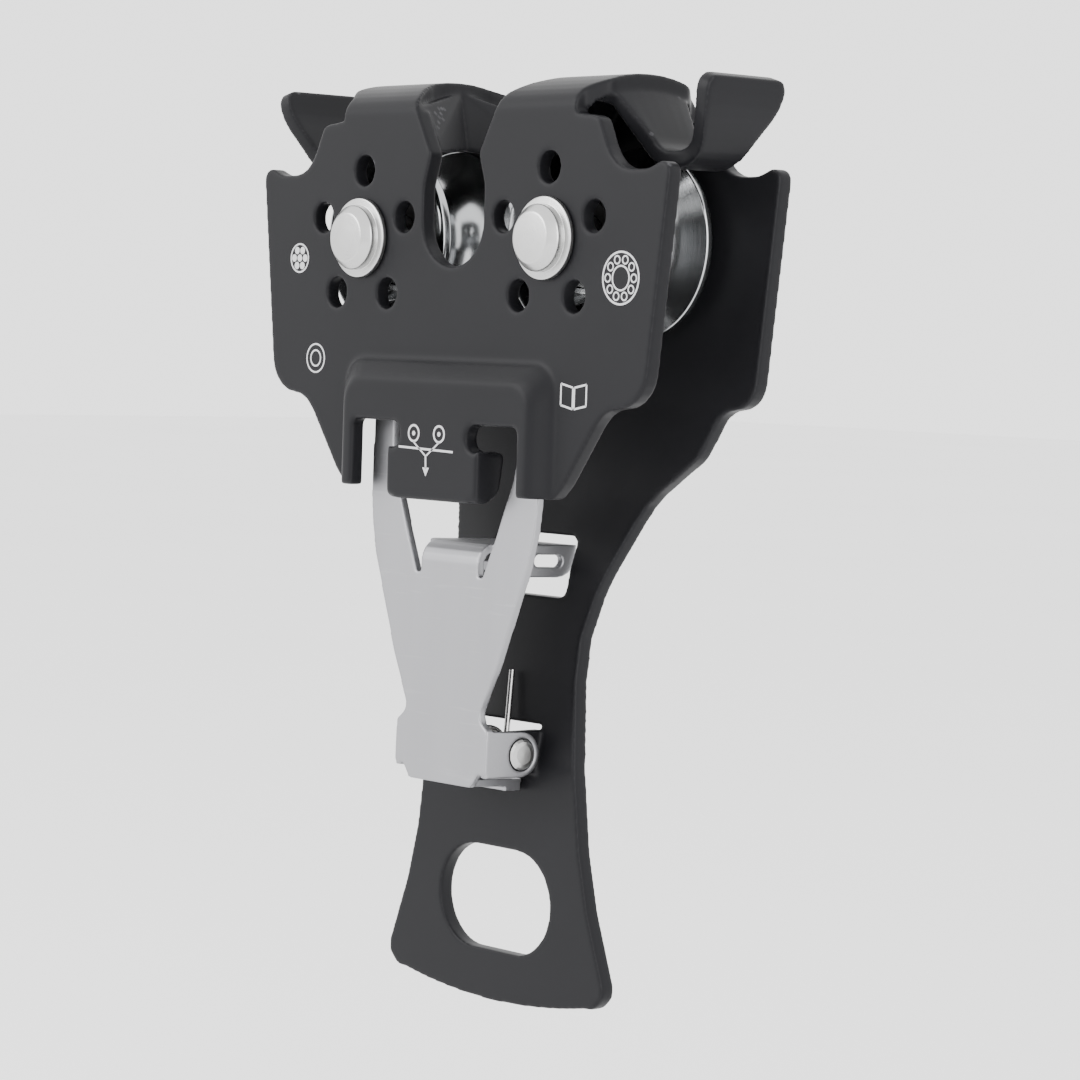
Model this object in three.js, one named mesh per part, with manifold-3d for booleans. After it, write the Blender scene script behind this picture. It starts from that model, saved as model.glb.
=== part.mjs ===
// Two-wheel cable pulley with a sprung side gate. Millimetres, +Z up, X along the cable, front cheek towards -Y.
// The origin is on the cable's centreline, midway between the sheaves. Shapes are drawn from the axle line,
// and the whole assembly is then lifted by AXLE_Z.
import * as THREE from "three";
import { mergeVertices } from "three/addons/utils/BufferGeometryUtils.js";
import Module from "manifold-3d";

const kit = await Module();
kit.setup();

// Driving dimensions
const AXLE_Z = 19; // axle line above the cable line: groove root radius + half a 12 mm cable
const WHEEL_X = 33; // sheave centre, each side of the middle
const SHEET = 4; // body sheet thickness
const HALF_DEPTH = 19; // outer face of a cheek from the mid-plane
const INNER = HALF_DEPTH - SHEET;
const ARCH_BASE = 29.3, ARCH_RISE = 8.3; // the hoods' elliptical arch above the axle line
const VENT_R = 3.65, VENT_PITCH_R = 16;
const BOX_DEPTH = 4.5; // how far the pressed box stands forward of the front cheek
const SHEAVE_R = 22, GROOVE_ROOT = 13, GROOVE_R = 8, SHEAVE_HALF = 12.2, HUB_HALF = 7.4;
const BEARING_R = 11, BEARING_W = 7, BORE_R = 4; // 8 x 22 x 7 ball bearing
const BALL_R = 1.95, BALL_PITCH_R = 7.6, BALLS = 7;
const HEAD_R = 9.4, HEAD_T = 1.2, BOSS_R = 7.6, BOSS_T = 4.9, BOSS_CHAMFER = 1.85;
const GATE_T = 2, PIN_Y = -6.9, PIN_Z = -119.1, PIN_R = 3.6, EAR_X = 16.4, EAR_R = 5.3;
const GATE_TILT = 1.55 * Math.PI / 180; // the closed gate leans back towards its top
const WIRE_R = 0.7, COIL_R = 5.1;
const GAP = 0.3;

const part = new THREE.Group();
part.name = "rope_pulley";
const assembly = new THREE.Group();
assembly.position.z = AXLE_Z;
part.add(assembly);

const paint = (color, roughness, metalness) => () =>
  new THREE.MeshStandardMaterial({ color, roughness, metalness });
const blackAnodised = paint(0x2b2b2e, 0.45, 0.5);
const blastedSteel = paint(0xc9cacd, 0.42, 0.9);
const turnedSteel = paint(0xe4e4e2, 0.28, 1);
const polishedAlloy = paint(0xd2d4d6, 0.18, 1);
const bearingSteel = paint(0xb8babd, 0.2, 1);
const springSteel = paint(0x9b9a98, 0.3, 1);
const sealRubber = paint(0x1d1d1f, 0.8, 0);

// ---- solids ----
function toSolid(geometry) {
  const bare = new THREE.BufferGeometry();
  bare.setAttribute("position", (geometry.index ? geometry.toNonIndexed() : geometry).getAttribute("position"));
  const merged = mergeVertices(bare, 1e-4);
  return new kit.Manifold(new kit.Mesh({
    numProp: 3,
    vertProperties: merged.attributes.position.array,
    triVerts: new Uint32Array(merged.index.array),
  }));
}

function addNode(name, solid, material) {
  const m = solid.getMesh();
  const g = new THREE.BufferGeometry();
  g.setAttribute("position", new THREE.BufferAttribute(new Float32Array(m.vertProperties), 3));
  g.setIndex(new THREE.BufferAttribute(new Uint32Array(m.triVerts), 1));
  g.computeVertexNormals();
  const mesh = new THREE.Mesh(g, material());
  mesh.name = name;
  assembly.add(mesh);
  return mesh;
}

const union = (...solids) => solids.reduce((a, b) => a.add(b));
const cut = (solid, ...tools) => tools.reduce((a, b) => a.subtract(b), solid);

// A flat shape pushed along one axis. The shape's two coordinates are (x, z), (y, z) or (x, y).
function prism(shape, axis, from, to, curveSegments = 12) {
  const g = new THREE.ExtrudeGeometry(shape, { depth: to - from, bevelEnabled: false, curveSegments });
  const basis = new THREE.Matrix4();
  const v = (x, y, z) => new THREE.Vector3(x, y, z);
  if (axis === "y") basis.makeBasis(v(1, 0, 0), v(0, 0, 1), v(0, -1, 0)).setPosition(0, to, 0);
  if (axis === "x") basis.makeBasis(v(0, 1, 0), v(0, 0, 1), v(1, 0, 0)).setPosition(from, 0, 0);
  if (axis === "z") basis.setPosition(0, 0, from);
  return toSolid(g.applyMatrix4(basis));
}

function box(x0, x1, y0, y1, z0, z1) {
  const g = new THREE.BoxGeometry(x1 - x0, y1 - y0, z1 - z0);
  return toSolid(g.translate((x0 + x1) / 2, (y0 + y1) / 2, (z0 + z1) / 2));
}

// A closed lathe about an axis parallel to Y: profile points are (radius, y).
function turned(profile, x, segments = 48) {
  const points = profile.map(([r, y]) => new THREE.Vector2(r, y));
  points.push(points[0].clone());
  const solid = toSolid(new THREE.LatheGeometry(points, segments).translate(x, 0, 0));
  return solid.volume() < 0 ? turned([...profile].reverse(), x, segments) : solid;
}

function rod(axis, radius, from, to, a, b, segments = 24) {
  const s = new THREE.Shape().absarc(a, b, radius, 0, 2 * Math.PI);
  return prism(s, axis, from, to, segments);
}

// Corner points [u, v, radius] joined by straight lines and tangent arcs. An open path keeps its two ends.
function rounded(corners, open = false, arcStep = Math.PI / 10) {
  const out = [];
  corners.forEach(([u, v, r = 0], i) => {
    const n = corners.length;
    if (!r || (open && (i === 0 || i === n - 1))) return out.push(new THREE.Vector2(u, v));
    const here = new THREE.Vector2(u, v);
    const before = new THREE.Vector2(...corners[(i + n - 1) % n]).sub(here).normalize();
    const after = new THREE.Vector2(...corners[(i + 1) % n]).sub(here).normalize();
    const half = Math.acos(THREE.MathUtils.clamp(before.dot(after), -1, 1)) / 2;
    const sweep = -(Math.PI - 2 * half) * Math.sign(before.cross(after));
    const centre = before.clone().add(after).normalize().multiplyScalar(r / Math.sin(half)).add(here);
    const start = before.multiplyScalar(r / Math.tan(half)).add(here).sub(centre);
    const steps = Math.max(1, Math.ceil(Math.abs(sweep) / arcStep - 1e-6));
    for (let k = 0; k <= steps; k++)
      out.push(start.clone().rotateAround(new THREE.Vector2(), (sweep * k) / steps).add(centre));
  });
  return out;
}

const outline = (corners) => new THREE.Shape(rounded(corners));
const mirrored = (corners) => [...corners, ...[...corners].reverse().map(([u, v, r]) => [-u, v, r])];

// A sheet of even thickness seen edge on, to both sides of a path.
function band(path, thickness) {
  const side = (k) => path.map((p, i) => {
    const a = path[Math.max(0, i - 1)], b = path[Math.min(path.length - 1, i + 1)];
    const dir = b.clone().sub(a).normalize();
    return new THREE.Vector2(-dir.y, dir.x).multiplyScalar((k * thickness) / 2).add(p);
  });
  return new THREE.Shape([...side(1), ...side(-1).reverse()]);
}

// A closed skin through rings that all have the same number of points.
function loft(rings) {
  const n = rings[0].length, tri = [];
  const push = (...pts) => pts.forEach((p) => tri.push(p.x, p.y, p.z));
  for (let i = 0; i + 1 < rings.length; i++)
    for (let j = 0; j < n; j++) {
      const a = rings[i][j], b = rings[i][(j + 1) % n], c = rings[i + 1][(j + 1) % n], d = rings[i + 1][j];
      push(a, b, c, a, c, d);
    }
  const cap = (ring, flip) => {
    for (let j = 0; j < n / 2 - 1; j++) {
      const a = ring[j], b = ring[j + 1], c = ring[n - 2 - j], d = ring[n - 1 - j];
      if (flip) push(a, c, b, a, d, c);
      else push(a, b, c, a, c, d);
    }
  };
  cap(rings[0], true);
  cap(rings[rings.length - 1], false);
  const build = (list) => {
    const g = new THREE.BufferGeometry();
    return toSolid(g.setAttribute("position", new THREE.Float32BufferAttribute(list, 3)));
  };
  const solid = build(tri);
  if (solid.volume() > 0) return solid;
  const turnedRound = [];
  for (let i = 0; i < tri.length; i += 9)
    turnedRound.push(...tri.slice(i, i + 3), ...tri.slice(i + 6, i + 9), ...tri.slice(i + 3, i + 6));
  return build(turnedRound);
}

const mirrorX = (solid) => solid.mirror([1, 0, 0]);
const bothSides = (solid) => union(solid, mirrorX(solid));

// ---- body: one folded and pressed sheet ----
// Upper profile shared by both cheeks: the V and the oval slot in the middle, the hump, the hook notch, the side.
const topEdge = [
  [14, ARCH_BASE + 0.4, 0],
  [8.4, 19.4, 2],
  [10.8, 12, 6],
  [10.8, 4.2, 0],
];
const slotBottom = Array.from({ length: 9 }, (_, k) => {
  const a = (k * Math.PI) / 16;
  return [10.8 * Math.cos(a), 4.2 - 10.8 * Math.sin(a), 0];
}).slice(1);
const shoulder = [
  [41.4, ARCH_BASE + 0.4, 0],
  [41.4, 27.9, 0],
  [48.9, 27, 2.2],
  [54.6, 15.2, 9],
  [65.2, 15.2, 8],
  [72.6, 18.4, 2.6],
];
const frontOutline = outline(mirrored([
  ...topEdge.slice().reverse(), ...shoulder,
  [66.1, -37.3, 9],
  [53.5, -37.6, 9],
  [40.6, -55.6, 9],
  [37.4, -58.6, 2.5],
  [29.5, -58.6, 0],
].slice(3)));
const slotShape = outline(mirrored([...topEdge, ...slotBottom]).reverse());

// Half-width of the rear sheet from the side corner down to the end of the handle.
const rearSide = [
  [66.2, -37.4, 7],
  [56.4, -37.4, 7],
  [49.5, -49, 9],
  [33.5, -60.2, 16],
  [20.4, -92, 34],
  [26.8, -122, 60],
  [30, -148, 60],
  [39.3, -173, 4],
  [35.5, -176.6, 4],
];
const handleEnd = (() => {
  const R = 168, pts = [];
  for (let k = 8; k >= 0; k--) {
    const a = (k * 0.19) / 8;
    pts.push([R * Math.sin(a), -179.9 + R * (1 - Math.cos(a)), 0]);
  }
  return pts;
})();
const rearOutline = outline(mirrored([
  [14, ARCH_BASE + 0.4, 0], ...shoulder, ...rearSide, ...handleEnd,
]));

// Side profile of the rear sheet: down the cheek, forward in two slopes, then the handle in the cable's plane.
const rearPath = rounded([
  [HALF_DEPTH - SHEET / 2, ARCH_BASE + 0.4],
  [HALF_DEPTH - SHEET / 2, -37.5, 8],
  [15.4, -61, 26],
  [9.8, -77, 26],
  [SHEET / 2, -122, 12],
  [SHEET / 2, -182],
], true, Math.PI / 36);

const vents = [];
for (const side of [-1, 1])
  for (let k = 0; k < 5; k++) {
    const a = Math.PI / 2 + (k * 2 * Math.PI) / 5;
    vents.push(rod("y", VENT_R, -30, 0, side * WHEEL_X + VENT_PITCH_R * Math.cos(a), VENT_PITCH_R * Math.sin(a), 8));
  }
const axleHoles = [-1, 1].map((s) => rod("y", BORE_R + GAP, -30, 30, s * WHEEL_X, 0, 12));

// Pressed box on the front cheek: outer skin and hollow are the same flared shape, one sheet apart.
function flaredBlock(shift, grow) {
  const ring = (y, halfX, top) => rounded([
    [-halfX, -70], [halfX, -70], [halfX, top, 6], [-halfX, top, 6],
  ]).map((p) => new THREE.Vector3(p.x, y, p.y));
  const face = -HALF_DEPTH - BOX_DEPTH + shift, root = -HALF_DEPTH + shift;
  return loft([
    ring(root + 2, 37.4 + grow, -28.2 + grow), ring(root, 37.4 + grow, -28.2 + grow),
    ring(root - 1.1, 36.2 + grow, -29 + grow), ring(face + 1.1, 34.2 + grow, -31.6 + grow),
    ring(face, 32.8 + grow, -33 + grow),
  ]);
}
const belowBox = box(-60, 60, -40, 0, -90, -58.6);
const boxBlock = flaredBlock(0, 0).intersect(box(-60, 60, -40, -INNER, -58.6, 0));
const boxHollow = flaredBlock(SHEET, -0.9).add(flaredBlock(SHEET + 1.9, -0.9));
// L-shaped notches leave a tab in the middle whose sides turn back towards the cable.
const notch = bothSides(union(
  prism(outline([[16.2, -42.8], [29.5, -42.8, 1.5], [29.5, -64], [16.2, -64]]), "y", -30, -14),
  prism(outline([[12, -42.8, 3], [12, -49, 3], [22, -49], [22, -42.8]]), "y", -30, -12.5),
));
const tabFace = prism(outline(mirrored([[12.6, -40], [16.4, -46, 0], [15.6, -60.8, 3]])), "y",
  -HALF_DEPTH - BOX_DEPTH, -INNER - BOX_DEPTH);
const tabSide = bothSides(prism(
  outline([[-23.5, -49.3, 1.5], [-14.6, -48.6, 1.5], [-16, -58.6, 3.5], [-20, -60.8, 2], [-23.5, -60.8, 2.2]]),
  "x", 12.6, 16.3));

const frontSheet = cut(prism(frontOutline, "y", -HALF_DEPTH, -INNER), prism(slotShape, "y", -30, -10));
const frontCheek = cut(union(
  cut(union(frontSheet, boxBlock), boxHollow, notch, belowBox),
  tabFace.intersect(box(-20, 20, -30, -10, -62, -42)), tabSide,
), cut(notch.intersect(box(-16.2, 16.2, -40, -10, -49, -42)), box(-30, 30, -40, -10, -90, -49)));

// Rear sheet with the gate tongue's window, the hinge window and its two lugs, and the eye.
const eye = (() => {
  const s = new THREE.Shape();
  s.absarc(7.3, -155.6, 12.3, -Math.PI / 2, Math.PI / 2);
  s.absarc(-7.3, -155.6, 12.3, Math.PI / 2, (3 * Math.PI) / 2);
  return prism(s, "y", -10, 20, 14);
})();
const tongueWindow = prism(
  outline([[-14.2, -83.2, 2.5], [14.2, -83.2, 2.5], [14.2, -68.8, 2.5], [-14.2, -68.8, 2.5]]), "y", 0, 30);
const hingeWindow = prism(
  outline([[-13.5, -125, 1], [13.5, -125, 1], [13.5, -112.9, 1], [-13.5, -112.9, 1]]), "y", -10, 20);
const lugShape = (() => {
  const s = new THREE.Shape();
  s.moveTo(2.4, PIN_Z - 5);
  s.lineTo(PIN_Y, PIN_Z - 5);
  s.absarc(PIN_Y, PIN_Z, 5, -Math.PI / 2, -1.5 * Math.PI, true);
  s.lineTo(2.9, PIN_Z + 5);
  return s;
})();
const pinHole = rod("x", PIN_R + GAP, -30, 30, PIN_Y, PIN_Z, 12);
const lugs = cut(bothSides(prism(lugShape, "x", 9.8, 13.9, 16)), pinHole);
const rearSheet = cut(
  prism(band(rearPath, SHEET), "x", -90, 90).intersect(prism(rearOutline, "y", -30, 30)),
  prism(slotShape, "y", 10, 30), tongueWindow, hingeWindow, eye,
);

// Two hoods join the cheeks over the wheels: an elliptical arch cut to a V at the inner end.
const archHeight = (y, lift = 0) => ARCH_BASE + (ARCH_RISE + lift) * Math.sqrt(Math.max(0, 1 - (y / HALF_DEPTH) ** 2));
const archSkin = (() => {
  const s = new THREE.Shape(), arc = (ry, rz, sign) => Array.from({ length: 19 }, (_, k) => {
    const a = (Math.PI * (sign > 0 ? k : 18 - k)) / 18;
    return new THREE.Vector2(ry * Math.cos(a), ARCH_BASE + rz * Math.sin(a));
  });
  s.setFromPoints([
    new THREE.Vector2(HALF_DEPTH, ARCH_BASE - 2), ...arc(HALF_DEPTH, ARCH_RISE, 1),
    new THREE.Vector2(-HALF_DEPTH, ARCH_BASE - 2), new THREE.Vector2(-INNER, ARCH_BASE - 2),
    ...arc(INNER, ARCH_RISE - SHEET, -1), new THREE.Vector2(INNER, ARCH_BASE - 2),
  ]);
  return s;
})();
const hoodPlan = new THREE.Shape([
  ...rounded([[14, -20], [14, -19], [20.5, -9, 8], [20.5, 9, 8], [14, 19], [14, 20]], true),
  ...rounded([[41.4, 20], [41.4, 16.5], [45.5, 12, 3], [45.5, -12, 3], [41.4, -16.5], [41.4, -20]], true),
]);
const hoodCap = prism(archSkin, "x", 5, 60).intersect(prism(hoodPlan, "z", ARCH_BASE, 60));

// Flanges close each hood's inner end. They meet on the mid-plane with a thin seam.
function flange(sign) {
  const at = (x, y, z) => new THREE.Vector3(x, sign * y, z);
  const outer = [at(8.6, 18.6, 19.6), at(14.2, 18.6, ARCH_BASE + 1), at(20.6, 0.15, 35.4), at(17.4, 0.15, 21.4)];
  const inner = [at(12.4, 15.6, 19.6), at(18, 15.6, ARCH_BASE + 1), at(24.2, 0.15, 35), at(21, 0.15, 21.4)];
  return loft([outer, inner]);
}
const flanges = union(flange(1), flange(-1));

// The crown runs outward as a strip, dips to a valley beside the wheel and rises as a winged ear.
const stripPath = rounded([[38, 35.6], [42.4, 35.6, 9], [55.2, 17.8, 9], [66.4, 17.8, 9],
  [73.4, 30, 16], [74.15, 33.4], [74.42, 34.6], [74.65, 35.6], [74.74, 36], [74.8, 36.2]], true, Math.PI / 12);
function stripHalfWidth(x, z) {
  if (x < 48) return THREE.MathUtils.lerp(14.4, 8.3, THREE.MathUtils.smoothstep(x, 41, 48));
  if (x < 66) return THREE.MathUtils.lerp(8.3, 7, THREE.MathUtils.smoothstep(x, 48, 54));
  const rise = THREE.MathUtils.smoothstep(z, 18, 33);
  const corner = Math.max(0, z - 33.4) / 2.8;
  return 7 + 5 * rise - 2.6 * (1 - Math.sqrt(Math.max(0, 1 - corner * corner)));
}
const strip = loft(stripPath.map((p, i) => {
  const a = stripPath[Math.max(0, i - 1)], b = stripPath[Math.min(stripPath.length - 1, i + 1)];
  const dir = b.clone().sub(a).normalize();
  const half = stripHalfWidth(p.x, p.y);
  const crown = 1 - THREE.MathUtils.smoothstep(p.x, 40, 54);
  const inset = 0.4 * (1 - THREE.MathUtils.smoothstep(p.x, 43, 48)); // the root lies inside the crown
  const row = (side) => Array.from({ length: 7 }, (_, j) => {
    const k = side * (SHEET / 2 - inset);
    const y = half * (1 - j / 3);
    const drop = (archHeight(y) - archHeight(0)) * crown;
    return new THREE.Vector3(p.x - dir.y * k, y, p.y + dir.x * k + drop);
  });
  return [...row(1), ...row(-1).reverse()];
}));

const body = cut(union(frontCheek, rearSheet, lugs, bothSides(union(hoodCap, flanges, strip))),
  ...vents, ...axleHoles);
addNode("body_plate", body, blackAnodised);

// ---- wheels ----
const arcPoints = (cy, cr, r, a0, a1, n) => Array.from({ length: n + 1 }, (_, k) => {
  const a = a0 + ((a1 - a0) * k) / n;
  return [cr + r * Math.cos(a), cy + r * Math.sin(a)];
});
for (const [side, x] of [["left", -WHEEL_X], ["right", WHEEL_X]]) {
  const groove = arcPoints(0, GROOVE_ROOT + GROOVE_R, GROOVE_R, Math.PI / 2 + 0.52, (3 * Math.PI) / 2 - 0.52, 10);
  addNode(side + "_sheave", turned([
    [BEARING_R + 0.02, HUB_HALF], [12.6, HUB_HALF], [14.6, SHEAVE_HALF - 0.8], [20.8, SHEAVE_HALF],
    [21.7, SHEAVE_HALF - 0.3], [SHEAVE_R, SHEAVE_HALF - 0.9], [SHEAVE_R, 9.8], ...groove,
    [SHEAVE_R, -9.8], [SHEAVE_R, -SHEAVE_HALF + 0.9], [21.7, -SHEAVE_HALF + 0.3], [20.8, -SHEAVE_HALF],
    [14.6, -SHEAVE_HALF + 0.8], [12.6, -HUB_HALF], [BEARING_R + 0.02, -HUB_HALF],
  ], x, 38), polishedAlloy);

  for (const [row, y] of [["front", -BEARING_W / 2 - 0.15], ["rear", BEARING_W / 2 + 0.15]]) {
    const h = BEARING_W / 2, race = BALL_R + 0.12;
    const outward = row === "front" ? -1 : 1;
    addNode(`${side}_outer_race_${row}`, turned([
      [BEARING_R - 0.28, y - h], [BEARING_R - 0.28, y + h], [9.4, y + h],
      ...arcPoints(y, BALL_PITCH_R, race, 0.62, -0.62, 4), [9.4, y - h],
    ], x, 28), bearingSteel);
    addNode(`${side}_inner_race_${row}`, turned([
      [BORE_R + 0.28, y + h], [BORE_R + 0.28, y - h], [5.9, y - h],
      ...arcPoints(y, BALL_PITCH_R, race, Math.PI + 0.62, Math.PI - 0.62, 4), [5.9, y + h],
    ], x, 20), bearingSteel);
    const cage = turned([[7.1, y - 0.8], [8.1, y - 0.8], [8.1, y + 0.8], [7.1, y + 0.8]], x, 21);
    const balls = Array.from({ length: BALLS }, (_, k) => {
      const a = (k * 2 * Math.PI) / BALLS;
      return toSolid(new THREE.SphereGeometry(BALL_R, 8, 5)
        .translate(x + BALL_PITCH_R * Math.cos(a), y, BALL_PITCH_R * Math.sin(a)));
    });
    addNode(`${side}_ball_cage_${row}`, union(cage, ...balls), bearingSteel);
    const lip = outward * (BEARING_W / 2 - 0.35);
    addNode(`${side}_seal_${row}`, turned([
      [6.25, y + lip - 0.25], [9.1, y + lip - 0.25], [9.1, y + lip + 0.25], [6.25, y + lip + 0.25],
    ], x, 20), sealRubber);
    addNode(`${side}_spacer_${row}`, turned([
      [BORE_R + 0.28, outward * (HUB_HALF - 0.05)], [6.2, outward * (HUB_HALF - 0.05)],
      [6.2, outward * 10.4], [7.6, outward * 11.6], [7.6, outward * (INNER - GAP)],
      [BORE_R + 0.28, outward * (INNER - GAP)],
    ], x, 20), turnedSteel);
  }

  const reach = HALF_DEPTH + GAP;
  addNode(side + "_axle", turned([
    [0, -reach - BOSS_T], [BOSS_R - BOSS_CHAMFER, -reach - BOSS_T], [BOSS_R, -reach - BOSS_T + BOSS_CHAMFER],
    [BOSS_R, -reach - HEAD_T], [HEAD_R - 0.4, -reach - HEAD_T], [HEAD_R, -reach - HEAD_T + 0.4], [HEAD_R, -reach],
    [BORE_R, -reach], [BORE_R, reach], [HEAD_R, reach], [HEAD_R, reach + HEAD_T - 0.4],
    [HEAD_R - 0.4, reach + HEAD_T], [BOSS_R, reach + HEAD_T], [BOSS_R, reach + BOSS_T - BOSS_CHAMFER],
    [BOSS_R - BOSS_CHAMFER, reach + BOSS_T], [0, reach + BOSS_T],
  ], x, 28), turnedSteel);
}

// ---- gate: drawn upright about the pin, then leaned by GATE_TILT ----
const GATE_Y = -10.9 - GAP; // front face from the pin's axis
const gateFace = prism(outline(mirrored([
  [11, -7.9, 1], [13.4, -4.6, 2], [EAR_X, -4.4, 0.8], [EAR_X, 5.6, 1.4],
  [12.6, 8.4, 3], [18.6, 21, 30], [28.6, 47.5, 30], [30, 60, 20], [30, 82.6, 3.4],
  [23, 82.6, 3.4], [22, 66, 20], [16, 50.5, 8], [11.9, 40.8, 0.7],
  [10.2, 40.8, 0.7], [10.2, 43.4],
])), "y", GATE_Y, GATE_Y + GATE_T);
const earShape = (() => {
  const s = new THREE.Shape();
  s.moveTo(GATE_Y + 0.4, -EAR_R);
  s.lineTo(0, -EAR_R);
  s.absarc(0, 0, EAR_R, -Math.PI / 2, Math.PI / 2);
  s.lineTo(GATE_Y + 0.4, EAR_R + 0.2);
  return s;
})();
const ears = cut(bothSides(prism(earShape, "x", EAR_X - GATE_T, EAR_X, 14)), rod("x", PIN_R + GAP, -30, 30, 0, 0, 12));
const hem = prism(band(rounded([
  [GATE_Y + 1, -3], [GATE_Y + 1, -6.9, 2.4], [PIN_Y * -1 - 0.7, -7.4],
], true), GATE_T), "x", -9.6, 9.6).add(box(-9.6, 9.6, 1.2, -PIN_Y - 0.7, -9.3, -6.4));
const tongueTop = 48.7, tongueEnd = 17.6;
const web = prism(band(rounded([
  [GATE_Y + 1, 38], [GATE_Y + 1, tongueTop - 1, 4], [tongueEnd, tongueTop - 1],
], true), GATE_T), "x", -12.2, 12.2);
const webTrim = bothSides(box(10.2, 14, -20, GATE_Y + 4, 30, 60));
const tongueSide = bothSides(cut(
  prism(outline([[-4.2, tongueTop - 1], [-4.2, 43.4, 2.4], [-1, 41, 2.4], [tongueEnd, 41, 5.4], [tongueEnd, tongueTop - 1]]),
    "x", 12.2 - GATE_T, 12.2),
  prism(outline([[4.6, 43.4, 1.45], [13.4, 43.4, 1.45], [13.4, 46.3, 1.45], [4.6, 46.3, 1.45]]), "x", 5, 20)));
const gateSolid = union(gateFace, ears, hem, cut(web, webTrim), tongueSide)
  .rotate([-GATE_TILT * 180 / Math.PI, 0, 0]).translate([0, PIN_Y, PIN_Z]);
addNode("gate_plate", gateSolid, blastedSteel);

addNode("gate_pin", toSolid(new THREE.LatheGeometry([
  [0, -17.1], [2.2, -17.05], [3.1, -16.8], [PIN_R, -16.3], [PIN_R, 16.3], [3.1, 16.8], [2.2, 17.05], [0, 17.1],
].map(([r, v]) => new THREE.Vector2(r, v)), 24).rotateZ(-Math.PI / 2).translate(0, PIN_Y, PIN_Z)), turnedSteel);

// Torsion spring: coils on the pin, one leg up against the rear sheet, one up behind the gate.
const TURNS = 4.55, COIL_X0 = -6.4, COIL_X1 = 4.6, COIL_A0 = 0.1;
class SpringPath extends THREE.Curve {
  getPoint(t) {
    const legA = 0.14, legB = 0.14;
    const on = (u) => {
      const a = COIL_A0 + u * TURNS * 2 * Math.PI;
      return new THREE.Vector3(THREE.MathUtils.lerp(COIL_X1, COIL_X0, u),
        PIN_Y + COIL_R * Math.cos(a), PIN_Z + COIL_R * Math.sin(a));
    };
    if (t < legA) return new THREE.Vector3(1.6, 2.2, -101).lerp(on(0), t / legA);
    if (t > 1 - legB) return on(1).lerp(new THREE.Vector3(-6.8, -14.9, -100), (t - 1 + legB) / legB);
    return on((t - legA) / (1 - legA - legB));
  }
}
const wire = new THREE.Shape().absarc(0, 0, WIRE_R, 0, 2 * Math.PI);
const spring = new THREE.ExtrudeGeometry(wire, { steps: 120, extrudePath: new SpringPath(), curveSegments: 3 });
addNode("gate_spring", toSolid(spring), springSteel);

export default part;
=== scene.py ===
import math

import bmesh
import bpy
from mathutils import Matrix, Vector


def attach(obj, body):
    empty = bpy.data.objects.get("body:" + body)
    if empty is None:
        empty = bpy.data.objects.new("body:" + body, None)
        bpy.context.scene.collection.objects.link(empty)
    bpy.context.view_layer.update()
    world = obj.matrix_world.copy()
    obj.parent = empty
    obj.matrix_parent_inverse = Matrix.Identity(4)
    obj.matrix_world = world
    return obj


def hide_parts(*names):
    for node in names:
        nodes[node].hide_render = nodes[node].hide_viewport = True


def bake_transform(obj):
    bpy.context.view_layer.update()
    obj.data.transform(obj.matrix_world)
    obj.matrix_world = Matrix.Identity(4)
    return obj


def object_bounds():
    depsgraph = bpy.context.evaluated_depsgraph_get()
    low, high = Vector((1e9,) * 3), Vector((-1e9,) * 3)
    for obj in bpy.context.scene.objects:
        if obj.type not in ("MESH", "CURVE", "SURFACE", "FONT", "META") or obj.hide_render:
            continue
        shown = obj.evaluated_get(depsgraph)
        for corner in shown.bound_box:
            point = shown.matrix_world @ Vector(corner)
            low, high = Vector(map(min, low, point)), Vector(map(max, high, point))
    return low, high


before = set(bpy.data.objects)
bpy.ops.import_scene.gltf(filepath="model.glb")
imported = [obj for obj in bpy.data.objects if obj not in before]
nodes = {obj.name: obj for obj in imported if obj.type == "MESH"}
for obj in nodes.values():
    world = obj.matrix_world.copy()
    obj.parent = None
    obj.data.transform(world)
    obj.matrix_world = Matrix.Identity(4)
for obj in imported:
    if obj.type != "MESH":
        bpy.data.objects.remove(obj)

cad_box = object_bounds()

# Places shared with the CAD model, in metres
MM = 0.001
AXLE_Z = 19 * MM
WHEEL_X = 33 * MM
CHEEK_Y = -19 * MM  # front face of the front cheek
TAB_Y = -23.5 * MM  # front face of the pressed box and its tab

# Sizes in millimetres
PIN_Y, PIN_Z = -6.9, -100.1
GROOVE_MID_R, GROOVE_R = 21, 8  # where the groove's arc is centred, and its radius
GROOVE_EDGE = 0.52  # angle left off each end of that arc, in radians
COIL_X0, COIL_LENGTH, COIL_R, COIL_TURNS, COIL_START, WIRE_R = 4.6, 11, 5.1, 4.55, 0.1, 0.7
REAR_LEG_END, GATE_LEG_END = (1.6, 2.2, -82), (-6.8, -14.9, -81)
INK_DEPTH, INK_PROUD = 0.1, 0.06  # a print's thickness, and how much of it stands above the sheet

# Light
SKY, FLOOR_SIZE, FLOOR_DROP = 2.3, 6.0, 0.06

# Camera: its place in metres, and how far it turns, tilts and rolls from looking level along +Y, in degrees
CAMERA_AT = (0.6303, -0.5509, -0.0019)
CAMERA_TURN, CAMERA_TILT, CAMERA_ROLL = 48.274, -3.358, 1.766
LENS, SENSOR = 118.48, 36.0
CENTRES = {"left": -WHEEL_X, "right": WHEEL_X}


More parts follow.
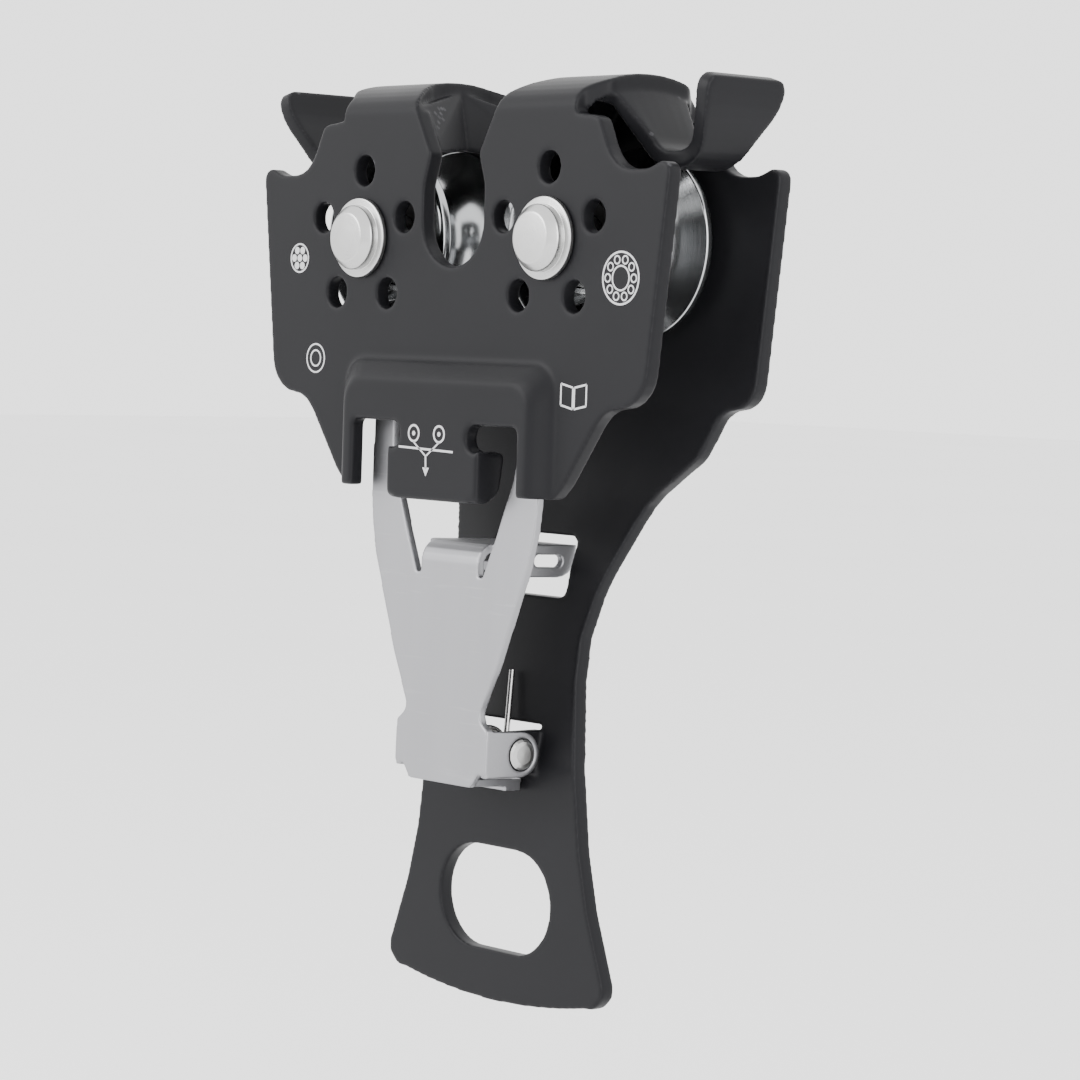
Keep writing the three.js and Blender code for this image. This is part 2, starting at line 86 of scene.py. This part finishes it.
# ---- materials ----
class Nodes:
    """A small helper for building one material's node tree."""

    def __init__(self, name):
        self.material = bpy.data.materials.new(name)
        self.material.use_nodes = True
        self.tree = self.material.node_tree
        self.shader = self.tree.nodes["Principled BSDF"]
        self.place = self.add("ShaderNodeTexCoord").outputs["Object"]

    def add(self, kind, **settings):
        node = self.tree.nodes.new(kind)
        for key, value in settings.items():
            setattr(node, key, value)
        return node

    def join(self, out, into):
        self.tree.links.new(out, into)
        return out

    def noise(self, scale, detail=2.0, roughness=0.5, vector=None, stretch=None):
        vector = vector or self.place
        if stretch:
            mapping = self.add("ShaderNodeMapping")
            mapping.inputs["Scale"].default_value = stretch
            self.join(vector, mapping.inputs["Vector"])
            vector = mapping.outputs["Vector"]
        node = self.add("ShaderNodeTexNoise")
        node.inputs["Scale"].default_value = scale
        node.inputs["Detail"].default_value = detail
        node.inputs["Roughness"].default_value = roughness
        self.join(vector, node.inputs["Vector"])
        return node.outputs["Fac"]

    def spread(self, value, low, high, from_low=0.0, from_high=1.0):
        node = self.add("ShaderNodeMapRange")
        node.inputs["From Min"].default_value = from_low
        node.inputs["From Max"].default_value = from_high
        node.inputs["To Min"].default_value = low
        node.inputs["To Max"].default_value = high
        self.join(value, node.inputs["Value"])
        return node.outputs["Result"]

    def maths(self, operation, a, b):
        node = self.add("ShaderNodeMath", operation=operation)
        for socket, value in zip(node.inputs, (a, b)):
            if isinstance(value, (int, float)):
                socket.default_value = value
            else:
                self.join(value, socket)
        return node.outputs["Value"]

    def mix(self, factor, a, b):
        node = self.add("ShaderNodeMix", data_type="RGBA")
        if isinstance(factor, (int, float)):
            node.inputs[0].default_value = factor
        else:
            self.join(factor, node.inputs[0])
        for socket, value in ((node.inputs[6], a), (node.inputs[7], b)):
            if isinstance(value, tuple):
                socket.default_value = (*value, 1)
            else:
                self.join(value, socket)
        return node.outputs[2]

    def bumps(self, *layers):
        """Bump layers, each (height, strength, distance)."""
        normal = None
        for height, strength, distance in layers:
            node = self.add("ShaderNodeBump")
            node.inputs["Strength"].default_value = strength
            node.inputs["Distance"].default_value = distance
            self.join(height, node.inputs["Height"])
            if normal:
                self.join(normal, node.inputs["Normal"])
            normal = node.outputs["Normal"]
        self.join(normal, self.shader.inputs["Normal"])

    def radius(self, x, z):
        """Distance from an axis parallel to Y through (x, z)."""
        flat = self.add("ShaderNodeVectorMath", operation="MULTIPLY")
        self.join(self.place, flat.inputs[0])
        flat.inputs[1].default_value = (1, 0, 1)
        away = self.add("ShaderNodeVectorMath", operation="DISTANCE")
        self.join(flat.outputs["Vector"], away.inputs[0])
        away.inputs[1].default_value = (x, 0, z)
        return away.outputs["Value"]


def satin_coat():
    """Black coat over blasted sheet: fine grain, faint cloudiness, and edges lightened in patches as a
    painted highlight.
    """
    n = Nodes("satin_black_coat")
    grain = n.noise(2600, 3, 0.6)
    cloud = n.noise(38, 3, 0.55)
    highlight_patches = n.noise(700, 4, 0.7)
    edge = n.add("ShaderNodeNewGeometry").outputs["Pointiness"]
    # Sharp edges (high pointiness), in noisy patches, are mixed towards the lighter grey (0.05) below: a
    # painted highlight along the edges
    painted_edge_highlight = n.maths("MULTIPLY", n.spread(edge, 0, 1, 0.53, 0.6), n.spread(highlight_patches, 0.25, 1, 0.35, 0.7))
    base = n.mix(cloud, (0.006, 0.006, 0.007), (0.009, 0.009, 0.0105))
    n.join(n.mix(painted_edge_highlight, base, (0.05, 0.05, 0.054)), n.shader.inputs["Base Color"])
    n.join(n.maths("ADD", n.spread(cloud, 0.36, 0.46), n.spread(grain, -0.03, 0.05)),
           n.shader.inputs["Roughness"])
    n.shader.inputs["Metallic"].default_value = 0.0
    n.shader.inputs["Specular IOR Level"].default_value = 0.12
    n.bumps((grain, 0.12, 0.00006), (cloud, 0.05, 0.0006))
    return n.material


def blasted_steel():
    """Stainless sheet, bead blasted: even grain with a soft rolling direction and a few handling marks."""
    n = Nodes("blasted_stainless")
    grain = n.noise(3200, 2, 0.6)
    rolling = n.noise(60, 4, 0.6, stretch=(1, 1, 0.12))
    marks = n.noise(900, 2, 0.5, stretch=(0.06, 1, 1))
    tone = n.mix(rolling, (0.27, 0.27, 0.283), (0.33, 0.33, 0.343))
    n.join(n.mix(n.spread(marks, 0, 0.35, 0.62, 0.78), tone, (0.40, 0.40, 0.41)),
           n.shader.inputs["Base Color"])
    n.join(n.maths("ADD", n.spread(rolling, 0.40, 0.50), n.spread(grain, -0.04, 0.05)),
           n.shader.inputs["Roughness"])
    n.shader.inputs["Metallic"].default_value = 1.0
    n.bumps((grain, 0.10, 0.00008), (marks, 0.04, 0.0001))
    return n.material


def turned_metal(name, x, z, colour, roughness, ring=1400, depth=0.00004):
    """Lathe-turned metal: fine rings about an axis along Y, with a little smear and staining."""
    n = Nodes(name)
    r = n.radius(x, z)
    line = n.add("ShaderNodeCombineXYZ")
    n.join(r, line.inputs["X"])
    rings = n.noise(ring * 4, 3, 0.65, vector=line.outputs["Vector"])
    broad = n.noise(ring * 0.5, 2, 0.5, vector=line.outputs["Vector"])
    smear = n.noise(300, 3, 0.5)
    low = tuple(c * 0.86 for c in colour)
    n.join(n.mix(n.maths("MULTIPLY", broad, smear), low, colour), n.shader.inputs["Base Color"])
    n.join(n.maths("ADD", n.spread(rings, roughness - 0.05, roughness + 0.08), n.spread(smear, -0.03, 0.03)),
           n.shader.inputs["Roughness"])
    n.shader.inputs["Metallic"].default_value = 1.0
    n.bumps((rings, 0.25, depth), (broad, 0.15, depth * 2))
    return n.material


def drawn_metal(name, colour, roughness, stretch):
    """Ground or drawn steel with marks along one direction."""
    n = Nodes(name)
    lines = n.noise(1500, 3, 0.6, stretch=stretch)
    blotch = n.noise(260, 2, 0.5)
    low = tuple(c * 0.8 for c in colour)
    n.join(n.mix(blotch, low, colour), n.shader.inputs["Base Color"])
    n.join(n.maths("ADD", n.spread(lines, roughness - 0.06, roughness + 0.08), n.spread(blotch, -0.03, 0.03)),
           n.shader.inputs["Roughness"])
    n.shader.inputs["Metallic"].default_value = 1.0
    n.bumps((lines, 0.2, 0.00003))
    return n.material


def moulded_rubber():
    n = Nodes("seal_rubber")
    grain = n.noise(2200, 3, 0.6)
    cloud = n.noise(180, 2, 0.5)
    n.join(n.mix(cloud, (0.018, 0.018, 0.019), (0.035, 0.034, 0.034)), n.shader.inputs["Base Color"])
    n.join(n.spread(grain, 0.62, 0.8), n.shader.inputs["Roughness"])
    n.bumps((grain, 0.3, 0.00005))
    return n.material


def print_ink():
    """Light ink with slightly uneven cover."""
    n = Nodes("mark_ink")
    speck = n.noise(5000, 2, 0.6)
    cover = n.noise(420, 2, 0.5)
    n.join(n.mix(cover, (0.42, 0.42, 0.43), (0.52, 0.52, 0.53)), n.shader.inputs["Base Color"])
    n.join(n.spread(speck, 0.5, 0.68), n.shader.inputs["Roughness"])
    n.bumps((speck, 0.15, 0.00003))
    return n.material


COAT, GATE_STEEL, RUBBER, INK = satin_coat(), blasted_steel(), moulded_rubber(), print_ink()
SPRING = drawn_metal("spring_wire", (0.42, 0.415, 0.41), 0.26, (1, 1, 0.1))
BEARING = drawn_metal("bearing_steel", (0.45, 0.455, 0.46), 0.2, (0.1, 1, 1))
PIN_STEEL = drawn_metal("pin_steel", (0.52, 0.52, 0.51), 0.3, (0.08, 1, 1))


# ---- mesh helpers ----
def new_piece(name, mesh, material, body, replaced=()):
    piece = bpy.data.objects.new(name, mesh)
    bpy.context.scene.collection.objects.link(piece)
    mesh.materials.clear()
    mesh.materials.append(material)
    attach(piece, body)
    if replaced:
        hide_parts(*replaced)


def baked(piece, *modifiers):
    """The mesh of a temporary object with modifiers applied: each is (type, settings)."""
    for kind, settings in modifiers:
        m = piece.modifiers.new(kind.lower(), kind)
        for key, value in settings.items():
            setattr(m, key, value)
    depsgraph = bpy.context.evaluated_depsgraph_get()
    depsgraph.update()
    mesh = bpy.data.meshes.new_from_object(piece.evaluated_get(depsgraph))
    bpy.data.objects.remove(piece)
    return mesh


def softened(node, voxel, passes):
    """A CAD sheet as an even skin whose sheared and pressed edges are slightly rounded."""
    copy = bpy.data.objects.new(node + "_work", nodes[node].data.copy())
    bpy.context.scene.collection.objects.link(copy)
    return baked(
        copy,
        ("REMESH", {"mode": "VOXEL", "voxel_size": voxel, "use_smooth_shade": True}),
        ("SMOOTH", {"factor": 0.5, "iterations": passes}),
    )


def shade(mesh, angle=35):
    mesh.shade_smooth()
    mesh.set_sharp_from_angle(angle=math.radians(angle))
    return mesh


def lathe(name, profile, x, z, segments=160):
    """Turned solid about an axis along Y through (x, z), from a closed loop of (radius, y) in millimetres."""
    verts, faces = [], []
    ring = []
    for r, y in profile:
        if r < 1e-9:
            ring.append([len(verts)] * segments)
            verts.append((x, y * MM, z))
            continue
        ring.append(list(range(len(verts), len(verts) + segments)))
        for k in range(segments):
            a = 2 * math.pi * k / segments
            verts.append((x + r * MM * math.cos(a), y * MM, z + r * MM * math.sin(a)))
    for i in range(len(profile)):
        a, b = ring[i], ring[(i + 1) % len(profile)]
        for k in range(segments):
            m = (k + 1) % segments
            loop = list(dict.fromkeys((a[k], a[m], b[m], b[k])))
            if len(loop) > 2:
                faces.append(loop)
    mesh = bpy.data.meshes.new(name)
    mesh.from_pydata(verts, [], faces)
    mesh.validate()
    return shade(mesh, 28)


def rounded_profile(corners, steps=4):
    """Corners (radius, y, fillet) as a polyline with rounded corners."""
    points = []
    count = len(corners)
    for i, (r, y, fillet) in enumerate(corners):
        here = Vector((r, y))
        if not fillet:
            points.append(tuple(here))
            continue
        to_last = (Vector(corners[i - 1][:2]) - here).normalized()
        to_next = (Vector(corners[(i + 1) % count][:2]) - here).normalized()
        start, end = here + to_last * fillet, here + to_next * fillet
        for k in range(steps + 1):
            t = k / steps
            points.append(tuple(start * (1 - t) ** 2 + here * 2 * t * (1 - t) + end * t ** 2))
    return points


# ---- body and gate sheets ----
new_piece("body_sheet", softened("body_plate", 0.42 * MM, 14), COAT, "body", ["body_plate"])
new_piece("gate_sheet", softened("gate_plate", 0.3 * MM, 3), GATE_STEEL, "gate", ["gate_plate"])


# ---- wheels, axles and their small parts ----
def finish_node(name, material):
    """A CAD node that is shown as it is, in its own material."""
    mesh = nodes[name].data
    mesh.materials.clear()
    mesh.materials.append(material)
    shade(mesh)


for side, x in CENTRES.items():
    alloy = turned_metal(side + "_turned_alloy", x, AXLE_Z, (0.46, 0.47, 0.48), 0.20)
    steel = turned_metal(side + "_turned_steel", x, AXLE_Z, (0.56, 0.56, 0.555), 0.27)
    groove = []
    for k in range(33):
        a = math.pi / 2 + GROOVE_EDGE + (math.pi - 2 * GROOVE_EDGE) * k / 32
        groove.append((GROOVE_MID_R + GROOVE_R * math.cos(a), GROOVE_R * math.sin(a)))
    upper = rounded_profile([(11.02, 7.4, 0.0), (12.6, 7.4, 0.5), (14.6, 11.4, 0.8), (20.8, 12.2, 0.4),
                             (21.7, 11.9, 0.2), (22.0, 11.3, 0.2), (22.0, 9.8, 0.5)])
    lower = [(r, -y) for r, y in reversed(upper)]
    wheel = lathe(side + "_wheel_mesh", upper + groove + lower, x, AXLE_Z)
    new_piece(side + "_wheel", wheel, alloy, side + "_wheel", [side + "_sheave"])

    head = [(0, 24.2, 0), (5.75, 24.2, 0.35), (7.6, 22.35, 0.35), (7.6, 20.5, 0.2), (9.4, 20.5, 0.4),
            (9.4, 19.3, 0.2), (4.0, 19.3, 0)]
    front = rounded_profile(head)
    shaft = lathe(side + "_axle_mesh", front + [(r, -y) for r, y in reversed(front)], x, AXLE_Z)
    new_piece(side + "_axle_turned", shaft, steel, "body", [side + "_axle"])

    for row in ("front", "rear"):
        finish_node(f"{side}_spacer_{row}", steel)
        finish_node(f"{side}_seal_{row}", RUBBER)
        for part in ("outer_race", "inner_race", "ball_cage"):
            finish_node(f"{side}_{part}_{row}", BEARING)

finish_node("gate_pin", PIN_STEEL)


# ---- gate spring: coils on the pin, one leg up by the rear sheet and one up by the gate ----
def spring_path(count=420, leg=12):
    def coil(u):
        a = COIL_START + u * COIL_TURNS * 2 * math.pi
        return Vector((COIL_X0 - COIL_LENGTH * u, PIN_Y + COIL_R * math.cos(a), PIN_Z + COIL_R * math.sin(a)))

    points = [Vector(REAR_LEG_END)]
    points += [points[0].lerp(coil(0), k / leg) for k in range(1, leg)]
    points += [coil(k / count) for k in range(count + 1)]
    points += [coil(1).lerp(Vector(GATE_LEG_END), k / leg) for k in range(1, leg + 1)]
    for _ in range(3):  # soften the two bends where the legs leave the coil
        middle = [(a + b * 2 + c) / 4 for a, b, c in zip(points, points[1:], points[2:])]
        points = [points[0]] + middle + [points[-1]]
    return [q * MM for q in points]


def tube(name, path, radius, sides=14):
    """A round wire along a path, closed at both ends."""
    verts, faces = [], []
    side = Vector((1, 0, 0))
    for i, here in enumerate(path):
        along = (path[min(i + 1, len(path) - 1)] - path[max(i - 1, 0)]).normalized()
        side = (side - along * side.dot(along)).normalized()
        other = along.cross(side)
        for k in range(sides):
            a = 2 * math.pi * k / sides
            verts.append(here + side * radius * math.cos(a) + other * radius * math.sin(a))
    for i in range(len(path) - 1):
        for k in range(sides):
            m = (k + 1) % sides
            faces.append((i * sides + k, i * sides + m, (i + 1) * sides + m, (i + 1) * sides + k))
    faces.append(tuple(reversed(range(sides))))
    faces.append(tuple((len(path) - 1) * sides + k for k in range(sides)))
    mesh = bpy.data.meshes.new(name)
    mesh.from_pydata(verts, [], faces)
    return shade(mesh, 50)


wire = bpy.data.objects.new("gate_spring_wire", tube("gate_spring_wire", spring_path(), WIRE_R * MM))
bpy.context.scene.collection.objects.link(wire)
wire.data.materials.append(SPRING)
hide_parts("gate_spring")
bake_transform(wire)


# ---- printed pictograms: thin closed plates that stand just proud of the sheet ----
class Print:
    """One pictogram, drawn in millimetres on a face that looks along -Y."""

    def __init__(self):
        self.verts, self.faces = [], []

    def plate(self, outline, hole=()):
        """A flat shape of (x, z) points in millimetres, as a plate between two depths."""
        n, base = len(outline), len(self.verts)
        rings = [outline, outline] + ([hole, hole] if hole else [])
        for ring, depth in zip(rings, (0, 1, 0, 1)):
            self.verts += [(x, depth, z) for x, z in ring]
        front, back = base, base + n
        quads = [(front, back)] + ([(base + 3 * n, base + 2 * n)] if hole else [])
        if hole:
            quads += [(base + 2 * n, front), (back, base + 3 * n)]
        else:
            self.faces += [tuple(range(front, front + n)), tuple(reversed(range(back, back + n)))]
        for a, b in quads:
            self.faces += [(a + k, b + k, b + (k + 1) % n, a + (k + 1) % n) for k in range(n)]

    def disc(self, x, z, radius, inner=0.0, count=40):
        def circle(r):
            return [(x + r * math.cos(2 * math.pi * k / count), z + r * math.sin(2 * math.pi * k / count))
                    for k in range(count)]
        self.plate(circle(radius), circle(inner) if inner else ())

    def bar(self, x0, z0, x1, z1, width):
        length = math.hypot(x1 - x0, z1 - z0)
        u, v = (z0 - z1) / length * width / 2, (x1 - x0) / length * width / 2
        self.plate([(x0 + u, z0 + v), (x0 - u, z0 - v), (x1 - u, z1 - v), (x1 + u, z1 + v)])

    def finish(self, name, face_y):
        mesh = bpy.data.meshes.new(name)
        places = [(x * MM, face_y + (INK_DEPTH * y - INK_PROUD) * MM, z * MM) for x, y, z in self.verts]
        mesh.from_pydata(places, [], self.faces)
        bm = bmesh.new()
        bm.from_mesh(mesh)
        bmesh.ops.recalc_face_normals(bm, faces=bm.faces)
        bm.to_mesh(mesh)
        bm.free()
        new_piece(name, mesh, INK, "body")


def around(x, z, radius, count):
    """Places evenly round a circle."""
    for k in range(count):
        a = 2 * math.pi * k / count
        yield x + radius * math.cos(a), z + radius * math.sin(a)


bearing, bearing_at = Print(), (57.8, 10.3)  # a ball bearing
bearing.disc(*bearing_at, 6.0, 5.55)
bearing.disc(*bearing_at, 2.9, 2.5)
for ball in around(*bearing_at, 4.2, 10):
    bearing.disc(*ball, 1.05, 0.7, 24)
bearing.finish("print_bearing", CHEEK_Y)

section, cable_at, rope_at = Print(), (-57, 14.1), (-49.7, -10)  # a cable and a rope, both in section
section.disc(*cable_at, 3.6, 3.2)
for strand in around(*cable_at, 2.1, 6):
    section.disc(*strand, 0.9, count=20)
section.disc(*cable_at, 0.9, count=20)
section.disc(*rope_at, 3.6, 3.2)
section.disc(*rope_at, 2.1, 1.7)
section.finish("print_sections", CHEEK_Y)

book, book_x, top, low, dip, line = Print(), 43.6, -13.4, -18.2, 0.8, 0.45  # an open book
for side in (-1, 1):
    tip, mid = book_x + side * 4.2, book_x + side * 0.25
    book.bar(mid, top - dip, tip, top, line)
    book.bar(mid, low - dip, tip, low, line)
    book.bar(tip, top, tip, low, line)
    book.bar(mid, top - dip, mid, low - dip, line)
book.finish("print_book", CHEEK_Y)

trolley = Print()  # two wheels over a cable, and the pull of the load below
for x, z in ((-6.3, -26.4), (2.8, -26.3)):
    trolley.disc(x, z, 2.1, 1.6)
    trolley.disc(x, z, 0.55, count=20)
trolley.bar(-11.6, -29.7, 7.9, -30.2, 0.5)
trolley.bar(-6.3, -28.4, -2.0, -31.4, 0.4)
trolley.bar(2.8, -28.3, -1.5, -31.4, 0.4)
trolley.bar(-1.8, -31.3, -1.65, -34.4, 0.5)
trolley.plate([(-2.8, -34.2), (-1.6, -36.2), (-0.5, -34.2)])
trolley.finish("print_trolley", TAB_Y)


# ---- light, floor and camera ----
def softbox(name, place, aim, size, power):
    light = bpy.data.lights.new(name, "AREA")
    light.shape = "RECTANGLE"
    light.size, light.size_y = size
    light.energy = power
    lamp = bpy.data.objects.new(name, light)
    bpy.context.scene.collection.objects.link(lamp)
    lamp.location = place
    lamp.rotation_mode = "QUATERNION"
    lamp.rotation_quaternion = (Vector(aim) - Vector(place)).to_track_quat("-Z", "Y")


def pale_floor():
    n = Nodes("pale_floor")
    cloud = n.noise(3, 2, 0.5)
    n.join(n.mix(cloud, (0.90, 0.90, 0.90), (0.94, 0.94, 0.94)), n.shader.inputs["Base Color"])
    n.shader.inputs["Roughness"].default_value = 0.7
    level = cad_box[0].z - FLOOR_DROP
    corners = [(x * FLOOR_SIZE, y * FLOOR_SIZE, level) for x, y in ((-1, -1), (1, -1), (1, 1), (-1, 1))]
    mesh = bpy.data.meshes.new("floor")
    mesh.from_pydata(corners, [], [(0, 1, 2, 3)])
    mesh.materials.append(n.material)
    floor = bpy.data.objects.new("floor", mesh)
    bpy.context.scene.collection.objects.link(floor)


pale_floor()
world = bpy.data.worlds.new("studio")
bpy.context.scene.world = world
world.use_nodes = True
world.node_tree.nodes["Background"].inputs["Color"].default_value = (1, 1, 1, 1)
world.node_tree.nodes["Background"].inputs["Strength"].default_value = SKY
softbox("key", (-0.5, -0.9, 0.45), (0, 0, -0.03), (0.7, 0.7), 9)
softbox("side", (0.9, -0.35, 0.25), (0, 0, 0), (0.5, 0.8), 6)

camera_data = bpy.data.cameras.new("camera")
camera_data.lens, camera_data.sensor_width = LENS, SENSOR
camera = bpy.data.objects.new("camera", camera_data)
bpy.context.scene.collection.objects.link(camera)
camera.matrix_world = (
    Matrix.Translation(CAMERA_AT)
    @ Matrix.Rotation(math.radians(CAMERA_TURN), 4, "Z")
    @ Matrix.Rotation(math.radians(90 + CAMERA_TILT), 4, "X")
    @ Matrix.Rotation(math.radians(CAMERA_ROLL), 4, "Z")
)
camera_data.clip_start, camera_data.clip_end = 0.01, 50
bpy.context.scene.camera = camera
